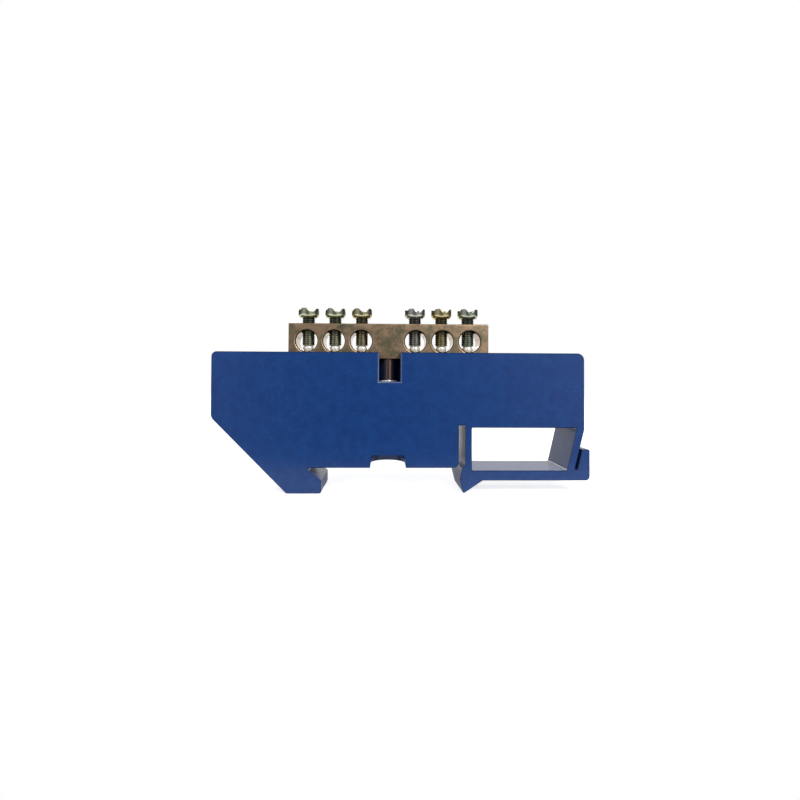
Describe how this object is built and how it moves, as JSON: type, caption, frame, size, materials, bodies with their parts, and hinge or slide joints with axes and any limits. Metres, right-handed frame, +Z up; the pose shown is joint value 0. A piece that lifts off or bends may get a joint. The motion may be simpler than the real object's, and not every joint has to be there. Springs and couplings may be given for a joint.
{
  "type": "neutral terminal bar on rail holder",
  "caption": "Brass terminal bar with clamp screws over cross holes, held by a long screw in a blue moulded holder that clips on a 35 mm rail.",
  "frame": {"origin": "on the plane of the rail seat, on the axis of the fixing screw, halfway through the holder's thickness", "axes": "+X along the bar from the fixed hook towards the spring latch, +Y from the front face to the back face, +Z up from the rail to the screw heads"},
  "size_m": [0.0879, 0.012, 0.0435],
  "materials": {
    "holder_plastic": "moulded polyamide, semi-gloss",
    "bar_brass": "drawn brass, dull and slightly stained",
    "fixing_screw_steel": "zinc-plated steel, polished thread",
    "clamp_screw_steel": "yellow zinc-plated steel"
  },
  "bodies": {
    "holder_and_bar": {"din_holder": "holder_plastic", "terminal_bar": "bar_brass", "fixing_screw": "fixing_screw_steel"},
    "screw_1": {"clamp_screw_1": "clamp_screw_steel"},
    "screw_2": {"clamp_screw_2": "clamp_screw_steel"},
    "screw_3": {"clamp_screw_3": "clamp_screw_steel"},
    "screw_4": {"clamp_screw_4": "clamp_screw_steel"},
    "screw_5": {"clamp_screw_5": "clamp_screw_steel"},
    "screw_6": {"clamp_screw_6": "clamp_screw_steel"}
  },
  "joints": [
    {"name": "screw_1_travel", "type": "slide", "parent": "holder_and_bar", "child": "screw_1", "axis": [0, 0, 1], "range_m": [0, 0.005]},
    {"name": "screw_2_travel", "type": "slide", "parent": "holder_and_bar", "child": "screw_2", "axis": [0, 0, 1], "range_m": [0, 0.005]},
    {"name": "screw_3_travel", "type": "slide", "parent": "holder_and_bar", "child": "screw_3", "axis": [0, 0, 1], "range_m": [0, 0.005]},
    {"name": "screw_4_travel", "type": "slide", "parent": "holder_and_bar", "child": "screw_4", "axis": [0, 0, 1], "range_m": [0, 0.005]},
    {"name": "screw_5_travel", "type": "slide", "parent": "holder_and_bar", "child": "screw_5", "axis": [0, 0, 1], "range_m": [0, 0.005]},
    {"name": "screw_6_travel", "type": "slide", "parent": "holder_and_bar", "child": "screw_6", "axis": [0, 0, 1], "range_m": [0, 0.005]}
  ]
}
